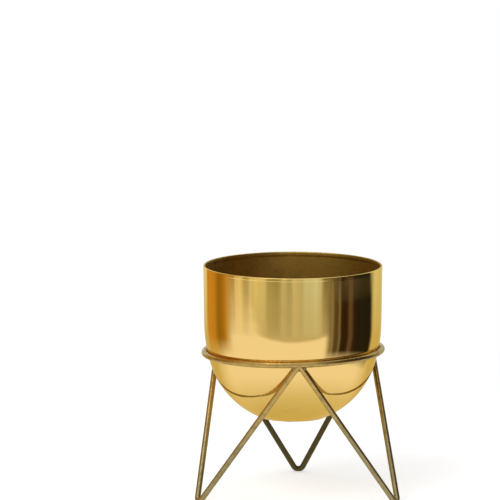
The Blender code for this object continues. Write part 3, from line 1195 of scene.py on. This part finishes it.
def floor_material():
    """Pale and shadowed near the pot, plain white beyond, and the table to reflections."""
    material = bpy.data.materials.new("pale_floor")
    material.use_nodes = True
    tree = material.node_tree
    shader = tree.nodes["Principled BSDF"]
    shader.inputs["Base Color"].default_value = FLOOR_GREY
    shader.inputs["Roughness"].default_value = 0.9
    shader.inputs["Specular IOR Level"].default_value = 0.0
    path = tree.nodes.new("ShaderNodeLightPath").outputs
    lift = add_node(
        tree, "ShaderNodeEmission",
        Strength=maths(tree, "MULTIPLY", path["Is Camera Ray"], FLOOR_LIFT),
    )
    near = tree.nodes.new("ShaderNodeAddShader")
    link(tree, shader.outputs["BSDF"], near.inputs[0])
    link(tree, lift.outputs["Emission"], near.inputs[1])
    white = tree.nodes.new("ShaderNodeEmission")
    far = maths(tree, "MULTIPLY", radial_mask(tree, *PLAIN_WHITE), path["Is Camera Ray"])
    shown = mix_shaders(tree, far, near.outputs["Shader"], white.outputs["Emission"])
    surface = mix_shaders(tree, path["Is Glossy Ray"], shown, table_glow(tree))
    link(tree, surface, tree.nodes["Material Output"].inputs["Surface"])
    return material


def pale_floor(radius):
    mesh = bpy.data.meshes.new("pale_floor")
    bm = bmesh.new()
    bmesh.ops.create_circle(bm, cap_ends=True, segments=FLOOR_SIDES, radius=radius)
    bm.to_mesh(mesh)
    bm.free()
    mesh.materials.append(floor_material())
    new_object("pale_floor", mesh)


def studio_world():
    """White to the camera and in reflections, a soft even light to everything else."""
    world = bpy.data.worlds.new("studio")
    world.use_nodes = True
    tree = world.node_tree
    background = tree.nodes["Background"]
    background.inputs["Color"].default_value = (1.0, 1.0, 1.0, 1.0)
    path = tree.nodes.new("ShaderNodeLightPath").outputs
    shown = maths(tree, "MAXIMUM", path["Is Camera Ray"], path["Is Glossy Ray"])
    shown = maths(tree, "MAXIMUM", shown, path["Is Transmission Ray"])
    strength = spread_value(tree, shown, low=ROOM_LIGHT, high=1.0)
    link(tree, strength, background.inputs["Strength"])
    bpy.context.scene.world = world


def soft_lamp(name, place, size, power):
    lamp = bpy.data.lights.new(name, "AREA")
    lamp.shape = "SQUARE"
    lamp.size = size
    lamp.energy = power
    holder = new_object(name, lamp)
    holder.location = place
    aim = BOWL_AXIS + Vector(LAMP_AIM) - Vector(place)
    holder.rotation_euler = aim.to_track_quat("-Z", "Y").to_euler()


def place_camera(settings):
    data = bpy.data.cameras.new("camera")
    data.lens = settings.lens
    data.sensor_width = SENSOR_WIDTH_MM
    data.clip_end = CAMERA_REACH
    camera = new_object("camera", data)
    camera.location = BOWL_AXIS + Vector(
        (0.0, -settings.camera_distance, settings.camera_height)
    )
    camera.rotation_euler = (
        math.pi / 2 - settings.camera_pitch, 0.0, settings.camera_turn
    )
    bpy.context.scene.camera = camera


# ------------ operators


class PLANTER_OT_bowl(bpy.types.Operator):
    """Build the spun bowl"""

    bl_idname = "planter.bowl"
    bl_label = "Bowl"

    def execute(self, context):
        build_bowl()
        return {"FINISHED"}


class PLANTER_OT_hoop(bpy.types.Operator):
    """Build the hoop and the bead that closes it"""

    bl_idname = "planter.hoop"
    bl_label = "Hoop"

    def execute(self, context):
        build_hoop()
        build_seam_weld()
        return {"FINISHED"}


class PLANTER_OT_legs(bpy.types.Operator):
    """Build the three hairpin legs"""

    bl_idname = "planter.legs"
    bl_label = "Legs"

    def execute(self, context):
        for side in FEET:
            build_leg(side)
        return {"FINISHED"}


class PLANTER_OT_welds(bpy.types.Operator):
    """Build the beads that join the legs to the hoop"""

    bl_idname = "planter.welds"
    bl_label = "Welds"

    def execute(self, context):
        for seed, place in enumerate(WELDED_LEGS, start=1):
            build_crotch_weld(place, seed)
        return {"FINISHED"}


class PLANTER_OT_stage(bpy.types.Operator):
    """Set up the floor, the surround, the lights and the camera"""

    bl_idname = "planter.stage"
    bl_label = "Stage"

    def execute(self, context):
        settings = context.scene.planter_stage
        pale_floor(settings.floor_radius)
        for screen in SCREENS:
            curved_screen(*screen)
        studio_world()
        soft_lamp("key_softbox", LAMP_PLACE, settings.lamp_size, settings.lamp_power)
        place_camera(settings)
        context.scene.view_settings.view_transform = "Standard"
        return {"FINISHED"}


class PLANTER_PT_panel(bpy.types.Panel):
    """Lists the planter's building steps and sizes"""

    bl_idname = "PLANTER_PT_panel"
    bl_label = "Brass planter pot"
    bl_space_type = "VIEW_3D"
    bl_region_type = "UI"
    bl_category = "Planter"

    def draw(self, context):
        for step in BUILD_STEPS:
            self.layout.operator(step.bl_idname)
        for name in SETTINGS:
            group = getattr(context.scene, name)
            box = self.layout.box()
            for field in group.bl_rna.properties:
                if field.identifier not in {"rna_type", "name"}:
                    box.prop(group, field.identifier)


BUILD_STEPS = (
    PLANTER_OT_bowl,
    PLANTER_OT_hoop,
    PLANTER_OT_legs,
    PLANTER_OT_welds,
    PLANTER_OT_stage,
)
SETTINGS = {
    "planter_bowl": BowlSizes,
    "planter_stand": StandSizes,
    "planter_colours": BrassColours,
    "planter_stage": StageSettings,
}


def register():
    for group in SETTINGS.values():
        bpy.utils.register_class(group)
    for step in BUILD_STEPS:
        bpy.utils.register_class(step)
    bpy.utils.register_class(PLANTER_PT_panel)
    for name, group in SETTINGS.items():
        setattr(bpy.types.Scene, name, PointerProperty(type=group))


def unregister():
    for name in SETTINGS:
        delattr(bpy.types.Scene, name)
    bpy.utils.unregister_class(PLANTER_PT_panel)
    for step in reversed(BUILD_STEPS):
        bpy.utils.unregister_class(step)
    for group in reversed(SETTINGS.values()):
        bpy.utils.unregister_class(group)


def main():
    register()
    bpy.ops.planter.bowl()
    bpy.ops.planter.hoop()
    bpy.ops.planter.legs()
    bpy.ops.planter.welds()
    bpy.ops.planter.stage()


if __name__ == "__main__":
    main()
